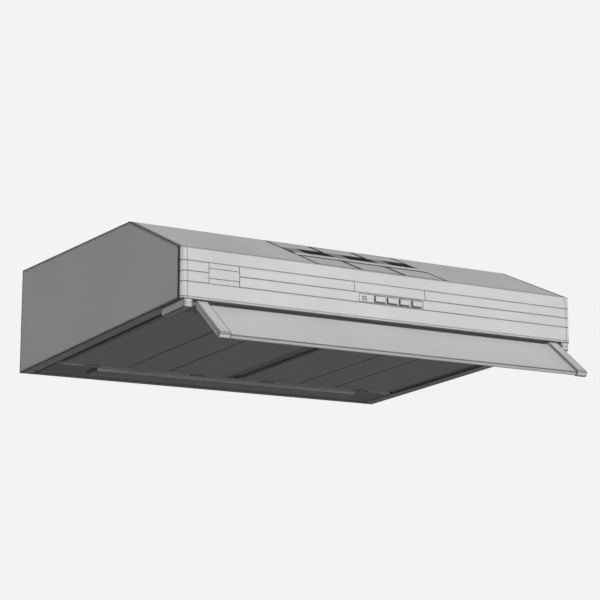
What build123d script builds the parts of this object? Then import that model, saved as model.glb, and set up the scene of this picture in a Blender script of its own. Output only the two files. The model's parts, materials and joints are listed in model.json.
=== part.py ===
from build123d import *
import math
import os

# Under-cabinet range hood with a fold-out visor.
# +X runs along the hood's width, -Y points at the cook and +Z is up.  The origin is on the flat
# top, on the axis of the duct outlet, in the middle of the four cabinet screws.

os.makedirs("parts", exist_ok=True)

# ---- Driving dimensions, in millimetres and degrees ----
WIDTH = 600.0
DEPTH = 490.0               # wall to the fullest point of the fascia
BACK_HEIGHT = 148.5
TOP_DEPTH = 345.0           # flat part of the top, from the wall to the ridge
FASCIA_TOP = -61.0          # height of the fascia's upper edge
FASCIA_FOOT = -123.4        # height of the fascia's lower edge
WALL = 172.0                # wall plane, behind the duct axis
SHEET = 1.2                 # steel sheet of the casing
SEAM = 0.4                  # visible gap between neighbouring outer pieces

SCREW_SPACING_X = 480.0     # cabinet screws
SCREW_SPACING_Y = 200.0
SCREW_HOLE = 3.0
SPIGOT_RADIUS = 60.0
SPIGOT_HEIGHT = 28.0

VISOR_ANGLE = 38.5          # visor arms below the horizontal when it is open
VISOR_REACH = 76.0
PIVOT_U = 4.3               # visor pivot, behind the fascia's foot
PIVOT_W = -5.7              # and below the underside plane

# ---- Places worked out from them ----
FRONT = WALL - DEPTH
RIDGE = WALL - TOP_DEPTH
FASCIA_TOP_Y = FRONT + 3.0
FOOT_Y = FRONT + 1.5
FASCIA_DEPTH = 9.5
FASCIA_BACK = FRONT + FASCIA_DEPTH
CASING_FRONT = FASCIA_BACK + SEAM
SLOPE_ANGLE = math.degrees(math.atan2(-FASCIA_TOP, RIDGE - FASCIA_TOP_Y))
UNDER_TILT = math.degrees(math.atan2(BACK_HEIGHT + FASCIA_FOOT, WALL - FOOT_Y))
UNDER_LENGTH = math.hypot(BACK_HEIGHT + FASCIA_FOOT, WALL - FOOT_Y)
HALF = WIDTH / 2

# Tilted working frames.  In UNDER, y runs back along the underside from the fascia's foot and z
# is square to it.  In SLOPE, -y runs down the sloped front from the ridge.  In VISOR, -y runs out
# along the open visor from its pivot.
UNDER = Location((0, FOOT_Y, FASCIA_FOOT), (-UNDER_TILT, 0, 0))
SLOPE = Location((0, RIDGE, 0), (SLOPE_ANGLE, 0, 0))


def slope_height(y):
    """Height of the sloped front's outer face at y."""
    return FASCIA_TOP * (RIDGE - y) / (RIDGE - FASCIA_TOP_Y)


def under_height(y):
    """Height of the underside plane at y."""
    return FASCIA_FOOT - (y - FOOT_Y) * math.tan(math.radians(UNDER_TILT))


def under_point(u, w):
    """Y and Z of the point u back along the underside and w above it."""
    tilt = math.radians(UNDER_TILT)
    y = FOOT_Y + u * math.cos(tilt) + w * math.sin(tilt)
    z = FASCIA_FOOT - u * math.sin(tilt) + w * math.cos(tilt)
    return y, z


PIVOT_Y, PIVOT_Z = under_point(PIVOT_U, PIVOT_W)
VISOR = Location((0, PIVOT_Y, PIVOT_Z), (VISOR_ANGLE, 0, 0))


# ---- Building helpers ----
def box(x, y, z):
    """Block between three (low, high) pairs."""
    spans = (x, y, z)
    sizes = [high - low for low, high in spans]
    centre = [(high + low) / 2 for low, high in spans]
    return Pos(*centre) * Box(*sizes)


def rod(start, direction, radius, length):
    """Round bar from start along direction."""
    upright = (Align.CENTER, Align.CENTER, Align.MIN)
    return Plane(origin=start, z_dir=direction) * Cylinder(radius, length, align=upright)


def rod_x(x, y, z, radius):
    """Round bar along X between the pair x."""
    return rod((x[0], y, z), (1, 0, 0), radius, x[1] - x[0])


def rod_y(x, y, z, radius):
    """Round bar along Y between the pair y."""
    return rod((x, y[0], z), (0, 1, 0), radius, y[1] - y[0])


def rod_z(x, y, z, radius):
    """Round bar along Z between the pair z."""
    return rod((x, y, z[0]), (0, 0, 1), radius, z[1] - z[0])


def ring_z(x, y, z, outer, inner):
    """Tube along Z between the pair z."""
    return rod_z(x, y, z, outer) - rod_z(x, y, z, inner)


def prism(points, x):
    """Solid with the YZ outline points, between the pair x."""
    face = Plane.YZ.offset(x[0]) * make_face(Polyline(*points, close=True))
    return extrude(face, amount=x[1] - x[0], dir=(1, 0, 0))


def shifted(points, distance):
    """The open line points moved to its own left by distance, with mitred corners."""
    normals = []
    for (a, b), (c, d) in zip(points, points[1:]):
        length = math.hypot(c - a, d - b)
        normals.append(((b - d) / length, (c - a) / length))
    behind = normals[:1] + normals
    ahead = normals + normals[-1:]
    moved = []
    for (a, b), (p, q), (r, s) in zip(points, behind, ahead):
        reach = distance / (1 + p * r + q * s)
        moved.append((a + (p + r) * reach, b + (q + s) * reach))
    return moved


def folded_sheet(points, x, thickness=SHEET):
    """Sheet folded along the YZ line points, its thickness to the line's left."""
    return prism(points + shifted(points, thickness)[::-1], x)


def mirrored(shape):
    """The same shape on the other side of the hood."""
    return mirror(shape, about=Plane.YZ)


def pan_screw(start, direction, grip, head=3.4, shank=1.7):
    """Pan-head screw: its head sits on start and its shank runs grip along direction."""
    seat = Vector(*start)
    along = Vector(*direction).normalized()
    return rod(seat - along * 1.8, direction, head, 1.8) + rod(seat, direction, shank, grip)


def screw_group(seats, direction, grip):
    """Identical pan-head screws on the given seats."""
    first, *others = [pan_screw(seat, direction, grip) for seat in seats]
    return first.fuse(*others) if others else first


pieces = {}


def add_pair(name, right):
    """Store a piece and its mirror image as NAME_right and NAME_left."""
    pieces[name + "_right"] = right
    pieces[name + "_left"] = mirrored(right)


# ---- Casing: one folded shell between two side panels ----
BACK_FOOT = (WALL, -BACK_HEIGHT)
CASING_LINE = [BACK_FOOT, (WALL, 0), (RIDGE, 0), (CASING_FRONT, slope_height(CASING_FRONT))]
HEM_INNER = HALF - 3.7      # inner edge of the side panel's outer hem
FLANGE_INNER = 281.0        # inner edge of the side panel's bottom flange
REAR_FLANGE = 12.0          # depth of the back sheet's bottom flange
SCREW_CLEAR = 1.85          # clearance hole for a pan-head screw
GLAND = (182.0, 95.0)       # cable gland on the top
GLAND_BODY = 8.0
GLAND_BORE = 3.7

VENT_BAY = 67.5             # width of one vent grille
VENT_TOP = 3.5              # vent window, measured down the slope from the ridge
VENT_FOOT = 144.0
LOUVRE_TOP = 45.0
LOUVRE_FOOT = 81.0
SPIGOT_SCREW_CIRCLE = 66.0
SPIGOT_SCREWS = 4


def corners(spacing_x, spacing_y):
    """The four corners of a rectangle round the origin."""
    return [(sx * spacing_x / 2, sy * spacing_y / 2) for sx in (-1, 1) for sy in (-1, 1)]


def circle_points(radius, count, start=0.0):
    """Evenly spaced points on a circle round the origin."""
    angles = [math.radians(start + 360 * i / count) for i in range(count)]
    return [(radius * math.cos(a), radius * math.sin(a)) for a in angles]


def casing_shell():
    """Back, flat top and sloped front in one folded sheet, with a bottom flange at the back."""
    inside = HEM_INNER - SEAM
    shell = folded_sheet(CASING_LINE, (-inside, inside))
    flange_tip = (WALL - REAR_FLANGE, under_height(WALL - REAR_FLANGE))
    foot_line = [flange_tip, BACK_FOOT, (WALL, -BACK_HEIGHT + REAR_FLANGE)]
    shell += folded_sheet(foot_line, (-FLANGE_INNER + 0.5, FLANGE_INNER - 0.5))
    through = (-2 * SHEET, SHEET)
    for x, y in corners(SCREW_SPACING_X, SCREW_SPACING_Y):
        shell -= rod_z(x, y, through, SCREW_HOLE)
    for x, y in circle_points(SPIGOT_SCREW_CIRCLE, SPIGOT_SCREWS, start=45):
        shell -= rod_z(x, y, through, SCREW_CLEAR)
    shell -= rod_z(0, 0, through, SPIGOT_RADIUS + 0.4)
    shell -= rod_z(*GLAND, through, GLAND_BODY + 0.1)
    window = 1.5 * VENT_BAY + SEAM / 2
    shell -= SLOPE * box((-window, window), (-VENT_FOOT, -VENT_TOP), through)
    return shell


def side_panel():
    """Right side: plate, outer hem, joggled flange under the shell, bottom flange, filter seat."""
    plate = prism(CASING_LINE + [(CASING_FRONT, under_height(CASING_FRONT))], (HALF - SHEET, HALF))
    hem = folded_sheet(CASING_LINE, (HEM_INNER, HALF - SHEET))
    joggle = folded_sheet(shifted(CASING_LINE, SHEET), (HALF - 15, HALF - SHEET))
    start = CASING_FRONT - FOOT_Y
    flange = UNDER * box((FLANGE_INNER, HALF - SHEET), (start, UNDER_LENGTH - SHEET - 0.3), (0, SHEET))
    seat_u = (RAIL_U[1] + 2, FILTER_REAR + 2)
    flange += UNDER * box((FLANGE_INNER, FLANGE_INNER + SHEET), seat_u, (0, FILTER_SEAT + SHEET))
    flange += UNDER * box((FILTER_X[1] - 4, FLANGE_INNER), seat_u, (FILTER_SEAT, FILTER_SEAT + SHEET))
    panel = plate + hem + joggle + flange
    for u in PANEL_SCREWS_U:
        panel -= UNDER * rod_z(PANEL_SCREW_X, u, (-1, 3), SCREW_CLEAR)
    for u in HINGE_SCREWS_U:
        panel -= UNDER * rod_z(HINGE_SCREW_X, u, (-1, 3), SCREW_CLEAR)
    return panel


# ---- Vent grilles in the sloped front ----
SLAT_COUNT = 6


def vent_grille(centre):
    """Flush moulded insert: a louvre of proud slats with a raised rib along its lower edge."""
    half = VENT_BAY / 2 - SEAM / 2
    side = half - 2.5
    plate = box((-half, half), (-VENT_FOOT + 0.2, -VENT_TOP - 0.2), (-SHEET, 0))
    plate -= box((-side, side), (-LOUVRE_FOOT, -LOUVRE_TOP), (-2 * SHEET, SHEET))
    for x in (-side, side):
        plate += box((x - 1, x + 1), (-LOUVRE_FOOT - 1, -LOUVRE_TOP + 1), (-8, -SHEET / 2))
    pitch = (LOUVRE_FOOT - LOUVRE_TOP) / (SLAT_COUNT + 1)
    for i in range(SLAT_COUNT):
        slat = Rot(X=-35) * Box(2 * side - 0.7, 1.3, 9)
        plate += Pos(0, -LOUVRE_TOP - pitch * (i + 1), -2.8) * slat
    rib = box((-half, half), (-LOUVRE_FOOT - 7.5, -LOUVRE_FOOT - 1.5), (0, 1.8))
    plate += rib
    return SLOPE * Pos(centre, 0, 0) * plate


# ---- Fascia and its plates ----
FASCIA_WALL = 1.6
FASCIA_CORNER = 8.0
BULGE_HEIGHT = -97.0        # height of the fascia's fullest point
LINE_DEPTH = 0.6
LINE_WIDTH = 0.9
UPPER_LINE = -77.0
MIDDLE_LINE = -90.0
LOWER_LINE = -103.0
FOOT_LINE = -121.3
BADGE = ((-263.0, -220.5), (LOWER_LINE, UPPER_LINE))
LEGEND = ((-53.0, 56.5), (MIDDLE_LINE, UPPER_LINE))
CONTROL = ((-45.5, 53.0), (-101.6, -91.7))
BADGE_BANDS = (-84.0, -96.4)
BAND_WIDTH = 0.7

BUTTON_COUNT = 4
BUTTON_PITCH = 19.2
FIRST_BUTTON = -14.9
BUTTON_SIZE = (15.3, 7.4)
BUTTON_GAP = 0.35
BUTTON_HEIGHT = -96.75
BUTTON_TRAVEL = 2.5
BUTTON_STAND = 2.6          # how far the buttons stand out of the fascia
LENS = ((-41.0, -35.0), (-99.2, -94.7))


def fascia_body(inset=0.0, lid=0.0):
    """Fascia's bulk: a bulging front with rounded ends, drawn in by inset and by lid up and down."""
    top = (FASCIA_TOP_Y + inset, FASCIA_TOP - lid)
    foot = (FOOT_Y + inset, FASCIA_FOOT + lid)
    back = FASCIA_BACK + inset
    front_arc = ThreePointArc(top, (FRONT + inset, BULGE_HEIGHT), foot)
    rest = Polyline(foot, (back, under_height(back) + lid), (back, slope_height(back) - lid), top)
    profile = Plane.YZ.offset(-HALF) * make_face(front_arc + rest)
    bulk = extrude(profile, amount=WIDTH, dir=(1, 0, 0))
    plan_depth = 60.0
    plan = RectangleRounded(WIDTH - 2 * inset, plan_depth, FASCIA_CORNER - inset)
    plan = Pos(0, FRONT + inset + plan_depth / 2, -BACK_HEIGHT) * plan
    return bulk & extrude(plan, amount=BACK_HEIGHT)


def surface_layer(x, z, depth=LINE_DEPTH):
    """The outermost depth of the fascia inside the window x by z."""
    window = box(x, (FRONT - 1, FASCIA_BACK - 0.5), z)
    return fascia_body() & window - fascia_body(depth, -4.0)


def plate_window(window, margin):
    """A (x, z) window made larger by margin all round."""
    return [(low - margin, high + margin) for low, high in window]


def window_block(window, margin, y):
    """Block over the pair y with the (x, z) window made larger by margin."""
    x, z = plate_window(window, margin)
    return box(x, y, z)


def front_fascia():
    """Pressed front cover with scribed lines, plate recesses and the control opening."""
    fascia = fascia_body() - fascia_body(FASCIA_WALL, FASCIA_WALL)
    for z in (UPPER_LINE, MIDDLE_LINE, LOWER_LINE, FOOT_LINE):
        fascia -= surface_layer((-HALF - 1, HALF + 1), (z - LINE_WIDTH / 2, z + LINE_WIDTH / 2))
    for window in (BADGE, LEGEND):
        fascia -= surface_layer(*plate_window(window, SEAM / 2))
    return fascia - window_block(CONTROL, SEAM / 2, (FRONT - 1, FASCIA_BACK))


def badge_plate():
    """Blank badge with two scribed bands."""
    badge = surface_layer(*plate_window(BADGE, -SEAM / 2))
    for z in BADGE_BANDS:
        badge -= surface_layer((-HALF, 0), (z - BAND_WIDTH / 2, z + BAND_WIDTH / 2), LINE_DEPTH / 2)
    return badge


def button_centres():
    """X of each push-button."""
    return [FIRST_BUTTON + BUTTON_PITCH * i for i in range(BUTTON_COUNT)]


def button_window(x):
    """(x, z) window of the button at x."""
    width, height = BUTTON_SIZE
    z = BUTTON_HEIGHT
    return ((x - width / 2, x + width / 2), (z - height / 2, z + height / 2))


BEZEL_FRONT = FRONT + 0.1
BEZEL_SEAT = FRONT + FASCIA_WALL + 0.25
BEZEL_BACK = BEZEL_SEAT + 1.5


def button_bezel():
    """Frame round the push-buttons, clipped in from behind."""
    bezel = window_block(CONTROL, 0, (BEZEL_FRONT, BEZEL_BACK))
    bezel += window_block(CONTROL, 2.5, (BEZEL_SEAT, BEZEL_BACK))
    through = (FRONT - 1, FASCIA_BACK)
    for x in button_centres():
        bezel -= window_block(button_window(x), BUTTON_GAP, through)
    return bezel - window_block(LENS, 0.1, through)


SWITCH_FRONT = FASCIA_BACK + 4.5
SWITCH_BACK = SWITCH_FRONT + 18
CAP_BACK = FRONT + 8
STEM_RADIUS = 1.9
STEM_END = SWITCH_FRONT + 6


def push_button(x):
    """Key cap with a softened face and the stem that works the switch."""
    cap = window_block(button_window(x), 0, (FRONT - BUTTON_STAND, CAP_BACK))
    cap = chamfer(cap.faces().sort_by(Axis.Y)[0].edges(), 0.5)
    return cap + rod_y(x, (CAP_BACK, STEM_END), BUTTON_HEIGHT, STEM_RADIUS)


def indicator_lens():
    """Lens of the running light, with its light guide."""
    (x0, x1), (z0, z1) = LENS
    lens = box((x0, x1), (FRONT - 0.1, BEZEL_BACK), (z0, z1))
    guide = rod_y((x0 + x1) / 2, (BEZEL_BACK, SWITCH_FRONT), (z0 + z1) / 2, 1.8)
    return lens + guide


SWITCH_X = (-43.0, 58.0)
FOOT_SCREW_INSET = 5.0


def switch_block():
    """Bank of four switches on two feet that stand on the front rail."""
    z = BUTTON_HEIGHT
    bank = box(SWITCH_X, (SWITCH_FRONT, SWITCH_BACK), (z - 7, z + 7))
    bore_end = STEM_END + BUTTON_TRAVEL + 1
    for x in button_centres():
        bank -= rod_y(x, (SWITCH_FRONT, bore_end), z, STEM_RADIUS + 0.05)
    for x in SWITCH_X:
        inner = x + 4 if x < 0 else x - 4
        outer = x - 8 if x < 0 else x + 8
        leg = (min(x, inner), max(x, inner))
        foot = (min(outer, inner), max(outer, inner))
        u = (SWITCH_FRONT - FOOT_Y + 1, SWITCH_BACK - FOOT_Y)
        bank += UNDER * box(leg, u, (SHEET, 24))
        bank += UNDER * box(foot, u, (SHEET, SHEET + 2))
        bank -= UNDER * rod_z(foot_screw_x(x), sum(u) / 2, (0, 8), SCREW_CLEAR)
    return bank


def foot_screw_x(x):
    """X of the screw beside the switch block's end x."""
    return x - FOOT_SCREW_INSET if x < 0 else x + FOOT_SCREW_INSET


# ---- Underside: front rail, divider, rear panel ----
RAIL_U = (9.0, 60.0)
RAIL_UPSTAND = 15.0
RAIL_HALF = 279.5
FILTER_REAR = 403.0
REAR_PANEL_U = (407.3, 475.0)
REAR_UPSTAND = 12.0
TAB_OUTER = 293.0
PANEL_SCREW_X = 287.5
PANEL_SCREWS_U = (422.0, 462.0)
HINGE_SCREW_X = 290.0
HINGE_SCREWS_U = (20.0, 50.0)
DIVIDER_WIDTH = 15.2
DIVIDER_W = 4.0             # height of the divider's lower face


def rail_line():
    """Section of the front rail in the UNDER frame."""
    front, back = RAIL_U
    return [(front, RAIL_UPSTAND), (front, 0), (back, 0), (back, RAIL_UPSTAND)]


def front_rail():
    """Channel across the front, behind the fascia, that the filters latch to."""
    rail = folded_sheet(rail_line(), (-RAIL_HALF, RAIL_HALF))
    u = (SWITCH_FRONT + SWITCH_BACK + 1) / 2 - FOOT_Y
    for x in SWITCH_X:
        rail -= rod_z(foot_screw_x(x), u, (-1, 3), SCREW_CLEAR)
    for side in (-1, 1):
        low, high = sorted((side * (RAIL_HALF - 12), side * (TAB_OUTER + 2)))
        rail += box((low, high), (14, 56), (SHEET, 2 * SHEET))
        for u in HINGE_SCREWS_U:
            rail -= rod_z(side * HINGE_SCREW_X, u, (0, 4), SCREW_CLEAR)
    return UNDER * rail


def centre_divider():
    """Hat-section bar between the filters, set back from their faces."""
    u = (RAIL_U[1], REAR_PANEL_U[0])
    half = DIVIDER_WIDTH / 2
    bar = box((-half, half), u, (DIVIDER_W, DIVIDER_W + SHEET))
    for x in (-half, half - SHEET):
        bar += box((x, x + SHEET), u, (DIVIDER_W + SHEET, 14))
    return UNDER * bar


def divider_clip():
    """Spring clip that locks the divider's rear end."""
    half = DIVIDER_WIDTH / 2 - 1.1
    front, back = REAR_PANEL_U[0] - 11.3, REAR_PANEL_U[0] - 0.5
    rim = (1, DIVIDER_W - 1.4)
    clip = box((-half, half), (front, back), (rim[1], DIVIDER_W))
    for x in (-half, half - SHEET):
        clip += box((x, x + SHEET), (front, back), rim)
    clip += box((-half, half), (front, front + SHEET), rim)
    return UNDER * clip


LAMP_OPENING = ((-218.5, 218.5), (409.6, 446.4))
HOOK_SPANS = ((-238.0, -212.0), (-71.0, -45.0), (45.0, 71.0), (212.0, 238.0))


def rear_panel():
    """Panel behind the filters: lamp opening, upstands, end tabs and the filters' hooks."""
    front, back = REAR_PANEL_U
    line = [(front, REAR_UPSTAND), (front, 0), (back, 0), (back, REAR_UPSTAND)]
    panel = folded_sheet(line, (-RAIL_HALF, RAIL_HALF))
    panel -= box(*LAMP_OPENING, (-1, 3))
    for u in PANEL_SCREWS_U:
        for side in (-1, 1):
            low, high = sorted((side * (RAIL_HALF - 10), side * TAB_OUTER))
            panel += box((low, high), (u - 7, u + 7), (SHEET, 2 * SHEET))
            panel -= rod_z(side * PANEL_SCREW_X, u, (-1, 4), SCREW_CLEAR)
    for span in HOOK_SPANS:
        panel += box(span, (front - 1.5, front + 1), (0.3, 1.4))
    return UNDER * panel


def panel_screws():
    """Screws in the rear panel's end tabs, the front rail's end tabs and the switch feet."""
    seats = [(x, u, 2 * SHEET) for x in (-PANEL_SCREW_X, PANEL_SCREW_X) for u in PANEL_SCREWS_U]
    switch_u = (SWITCH_FRONT + SWITCH_BACK + 1) / 2 - FOOT_Y
    seats += [(foot_screw_x(x), switch_u, SHEET + 2) for x in SWITCH_X]
    return UNDER * screw_group(seats, (0, 0, -1), 2.3)


# ---- Grease filters ----
FILTER_X = (9.0, 274.0)
FILTER_U = (62.2, FILTER_REAR)
FILTER_W = (1.4, 10.4)
FILTER_CORNER = 8.0
FILTER_SEAT = 10.8          # height of the seats above the filters' side edges
FRAME_LIP = 4.5
FRAME_WALL = 1.0
CREASES = (109.0, 174.0)
HINGE_U = 404.8             # the filters turn about this line
HINGE_W = 3.0
HINGE_BEAD = 1.2
LATCH_X = 141.5
LATCH_TRAVEL = 5.0
LATCH_U = (68.0, 88.0)      # finger slider, shut


def filter_slab(inset, w):
    """Rounded slab in the filter's outline, drawn in by inset."""
    width = FILTER_X[1] - FILTER_X[0] - 2 * inset
    length = FILTER_U[1] - FILTER_U[0] - 2 * inset
    radius = max(FILTER_CORNER - inset, 0.6)
    outline = Pos(sum(FILTER_X) / 2, sum(FILTER_U) / 2, w[0]) * RectangleRounded(width, length, radius)
    return extrude(outline, amount=w[1] - w[0])


def latch_box(half_width, u, w):
    """Block centred on the latch."""
    return box((LATCH_X - half_width, LATCH_X + half_width), u, w)


def filter_frame():
    """Channel frame with the latch housing at the front and the hooks at the rear."""
    low, high = FILTER_W
    frame = filter_slab(0, FILTER_W) - filter_slab(FRAME_LIP, FILTER_W)
    frame -= filter_slab(FRAME_WALL, (low + FRAME_WALL, high - FRAME_WALL))
    front, back = LATCH_U
    back += LATCH_TRAVEL
    frame += latch_box(30, (FILTER_U[0] + 0.5, back + 4), FILTER_W)
    frame -= latch_box(25.4, (front - 2.5, back + 1.2), (2.9, 8.9))
    frame -= latch_box(22, (front, back - 1), (low - 1, 3))
    frame -= latch_box(12.4, (front - 8, front - 2), (4.2, 7.8))
    for span in HOOK_SPANS[2:]:
        inner = (span[0] + 1, span[1] - 1)
        frame += box(inner, (FILTER_REAR - 0.5, HINGE_U), (HINGE_W - 0.6, HINGE_W + 0.6))
        frame += rod_x(inner, HINGE_U, HINGE_W, HINGE_BEAD)
    return UNDER * frame


def crease(x, w):
    """V-shaped groove along the filter at x, cut at height w."""
    groove = Rot(Y=45) * Box(1.3, 400, 1.3)
    return Pos(x, sum(FILTER_U) / 2, w) * groove


def filter_mesh():
    """Two expanded-metal sheets held in the frame's channel, the lower one creased."""
    low, high = FILTER_W
    skin = 0.8
    lower = filter_slab(FRAME_LIP + 0.2, (low, low + 2 * skin))
    lower += filter_slab(FRAME_WALL + 0.2, (low + FRAME_WALL + 0.1, low + FRAME_WALL + 0.1 + skin))
    lower -= filter_slab(FRAME_LIP + 4, (low + skin + 0.3, low + 4 * skin))
    for x in CREASES:
        lower -= crease(x, low)
    upper = filter_slab(FRAME_WALL + 0.2, (high - FRAME_WALL - 0.1 - skin, high - FRAME_WALL - 0.1))
    pocket = latch_box(30.3, (FILTER_U[0] - 2, LATCH_U[1] + LATCH_TRAVEL + 4.3), (0, 12))
    return UNDER * (lower + upper - pocket)


def filter_latch():
    """Sliding finger latch with its tongue."""
    front, back = LATCH_U
    slider = latch_box(25, LATCH_U, (3.2, 8.6))
    slider += latch_box(21.5, (front + 3, back - 3), (1.8, 3.4))
    slider -= latch_box(16, (front + 6, back - 6), (1, 6))
    slider += latch_box(12, (RAIL_U[1] + 0.3, front + 0.5), (4.5, 7.5))
    return UNDER * slider


# ---- Lamp compartment ----
COVER_X = 216.0
COVER_U = (410.2, 445.8)
COVER_W = (-4.6, 6.0)
COVER_WALL = 1.4
COVER_HINGE_U = 444.6
COVER_HINGE_W = -1.0
COVER_BEAD = 1.6            # round bead that the cover swings about
COVER_HOOKS_X = (-150.0, -10.0, 130.0)
LAMP_U = 436.0
LAMP_W = 23.6
HOUSING_X = 224.0
HOUSING_U = (409.0, 473.5)
HOUSING_TOP = 43.0
HOLDER_X = (183.0, 222.0)


def lamp_cover():
    """Shallow translucent tray below the lamps, hinged and hooked at its rear edge."""
    u0, u1 = COVER_U
    w0, w1 = COVER_W
    tray = box((-COVER_X, COVER_X), COVER_U, COVER_W)
    lower_edges = tray.edges().filter_by(Axis.X).group_by(Axis.Z)[0]
    tray = fillet(lower_edges, 1.6)
    wall = COVER_WALL
    tray += rod_x((-COVER_X, COVER_X), COVER_HINGE_U, COVER_HINGE_W, COVER_BEAD)
    tray -= box((-COVER_X + wall, COVER_X - wall), (u0 + wall, u1 - wall), (w0 + wall, w1 + 1))
    for x in COVER_HOOKS_X:
        tray += box((x, x + 20), (u1 - 0.5, u1 + 3), (SHEET + 0.5, SHEET + 1.7))
    return UNDER * tray


def lamp_housing():
    """Reflector box over the lamps, standing on the rear panel."""
    u0, u1 = HOUSING_U
    wall = 1.0
    outer = box((-HOUSING_X, HOUSING_X), HOUSING_U, (SHEET, HOUSING_TOP))
    inner = box((-HOUSING_X + wall, HOUSING_X - wall), (u0 + wall, u1 - wall), (0, HOUSING_TOP - wall))
    housing = outer - inner
    for side in (-1, 1):
        end = side * (HOUSING_X + 1)
        low, high = sorted((end, end - side * 3))
        housing -= rod_x((low, high), LAMP_U, LAMP_W, 6.2)
    return UNDER * housing


def lamp_holder():
    """Right-hand lamp socket with its fixing collar."""
    x0, x1 = HOLDER_X
    socket = rod_x((x0, x1), LAMP_U, LAMP_W, 13.5)
    socket += rod_x((x1, HOUSING_X + 6), LAMP_U, LAMP_W, 6)
    return UNDER * (socket - rod_x((x0 - 1, x0 + 24), LAMP_U, LAMP_W, 7.2))


def lamp_cap():
    """Right-hand lamp's screw cap."""
    return UNDER * rod_x((HOLDER_X[0] - 4, HOLDER_X[0] + 22), LAMP_U, LAMP_W, 7)


def lamp_bulb():
    """Right-hand lamp's candle-shaped glass."""
    base = HOLDER_X[0] - 4
    tip = base - 78
    side = Bezier((base, 6.8), (base - 25, 22), (base - 55, 18), (tip, 0.8))
    rest = Polyline((tip, 0.8), (tip, 0), (base, 0), (base, 6.8))
    bulb = revolve(make_face(side + rest), axis=Axis.X)
    return UNDER * Pos(0, LAMP_U, LAMP_W) * bulb


# ---- Fan ----
FAN = (-150.0, 29.0)        # axis of the impeller
FAN_TOP = -1.6
FAN_FOOT = -100.0
FAN_SPLIT = -54.0
FAN_WALL = 2.2
SCROLL_RADIUS = 71.0
SCROLL_STEP = 8.0
CHAMBER = 66.0              # half the outlet chamber under the spigot
TONGUE_ANGLE = -30.0
INLET_RADIUS = 50.0
IMPELLER_RADIUS = 66.0
IMPELLER_FOOT = -86.0
BLADE_INNER = 53.0
BLADE_COUNT = 36
SHAFT_RADIUS = 3.0
MOTOR_RADIUS = 32.0
MOTOR_Z = (-50.0, -6.5)
BRACKET_SCREW_CIRCLE = 42.0
BRACKET_Z = (-6.4, FAN_TOP - FAN_WALL)
CUP_RADIUS = 36.0           # inside of the impeller's cup, round the motor
CUP_TOP = -12.4
CUP_FOOT = -60.0
HUB_FOOT = -74.0
HUB_RADIUS = 8.0
GUARD_RINGS = (13.0, 25.0, 37.0)
CAPACITOR = (105.0, 108.0)
CAPACITOR_RADIUS = 15.0
CAPACITOR_FOOT = -52.0
SCROLL_SCREWS = ((-203, 92), (-228, -20), (-150, -73), (0, -73), (73, 0), (0, 73))


def scroll_outline():
    """Inside of the fan scroll: three growing quarter arcs that run into the outlet chamber."""
    x, y = FAN
    quarter = SCROLL_STEP
    first = CenterArc((x, y), SCROLL_RADIUS, TONGUE_ANGLE, 90 - TONGUE_ANGLE)
    second = CenterArc((x, y - quarter), SCROLL_RADIUS + quarter, 90, 90)
    third = CenterArc((x + quarter, y - quarter), SCROLL_RADIUS + 2 * quarter, 180, 90)
    chamber = [third @ 1, (CHAMBER, -CHAMBER), (CHAMBER, CHAMBER), (-CHAMBER, CHAMBER)]
    chamber += [(-CHAMBER, -8), first @ 0]
    return make_face(first + second + third + Polyline(*chamber))


def scroll_layer(z, grow=0.0):
    """The scroll's outline, larger by grow, between the pair z."""
    outline = offset(scroll_outline(), amount=grow) if grow else scroll_outline()
    return extrude(Pos(0, 0, z[0]) * outline, amount=z[1] - z[0], dir=(0, 0, 1))


def scroll_rim(z):
    """Flange where the two scroll halves meet, with its screw lugs."""
    rim = scroll_layer(z, FAN_WALL + 4)
    for x, y in SCROLL_SCREWS:
        rim += rod_z(x, y, z, 6)
    rim -= scroll_layer(z, FAN_WALL / 2)
    for x, y in SCROLL_SCREWS:
        rim -= rod_z(x, y, z, SCREW_CLEAR)
    return rim


def fan_scroll_upper():
    """Upper half of the fan housing, with the motor opening and the outlet to the spigot."""
    shell = scroll_layer((FAN_SPLIT, FAN_TOP), FAN_WALL) - scroll_layer((FAN_SPLIT, FAN_TOP - FAN_WALL))
    shell += scroll_rim((FAN_SPLIT, FAN_SPLIT + 2))
    top = (FAN_TOP - 2 * FAN_WALL, FAN_TOP + 1)
    shell -= rod_z(0, 0, top, SPIGOT_RADIUS + 0.4)
    for x, y in circle_points(SPIGOT_SCREW_CIRCLE, SPIGOT_SCREWS, start=45):
        shell -= rod_z(x, y, top, SCREW_CLEAR)
    for x, y in circle_points(BRACKET_SCREW_CIRCLE, 3, start=90):
        shell -= rod_z(x + FAN[0], y + FAN[1], top, SCREW_CLEAR)
    return shell


def fan_scroll_lower():
    """Lower half of the fan housing, with the inlet bellmouth."""
    shell = scroll_layer((FAN_FOOT, FAN_SPLIT), FAN_WALL) - scroll_layer((FAN_FOOT + FAN_WALL, FAN_SPLIT))
    shell += scroll_rim((FAN_SPLIT - 2, FAN_SPLIT))
    shell -= rod_z(*FAN, (FAN_FOOT - 1, FAN_FOOT + 4), INLET_RADIUS)
    return shell + ring_z(*FAN, (FAN_FOOT, FAN_FOOT + 10), INLET_RADIUS + 2, INLET_RADIUS)


def inlet_guard():
    """Finger guard under the fan inlet."""
    z = (FAN_FOOT - 2, FAN_FOOT)
    guard = ring_z(*FAN, z, 56, INLET_RADIUS - 1)
    for radius in GUARD_RINGS:
        guard += ring_z(*FAN, z, radius + 1, radius - 1)
    for angle in range(0, 180, 45):
        bar = Box(2, 2 * INLET_RADIUS, 2) - Cylinder(GUARD_RINGS[0], 4)
        guard += Pos(*FAN, FAN_FOOT - 1) * Rot(Z=angle) * bar
    return guard


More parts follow.
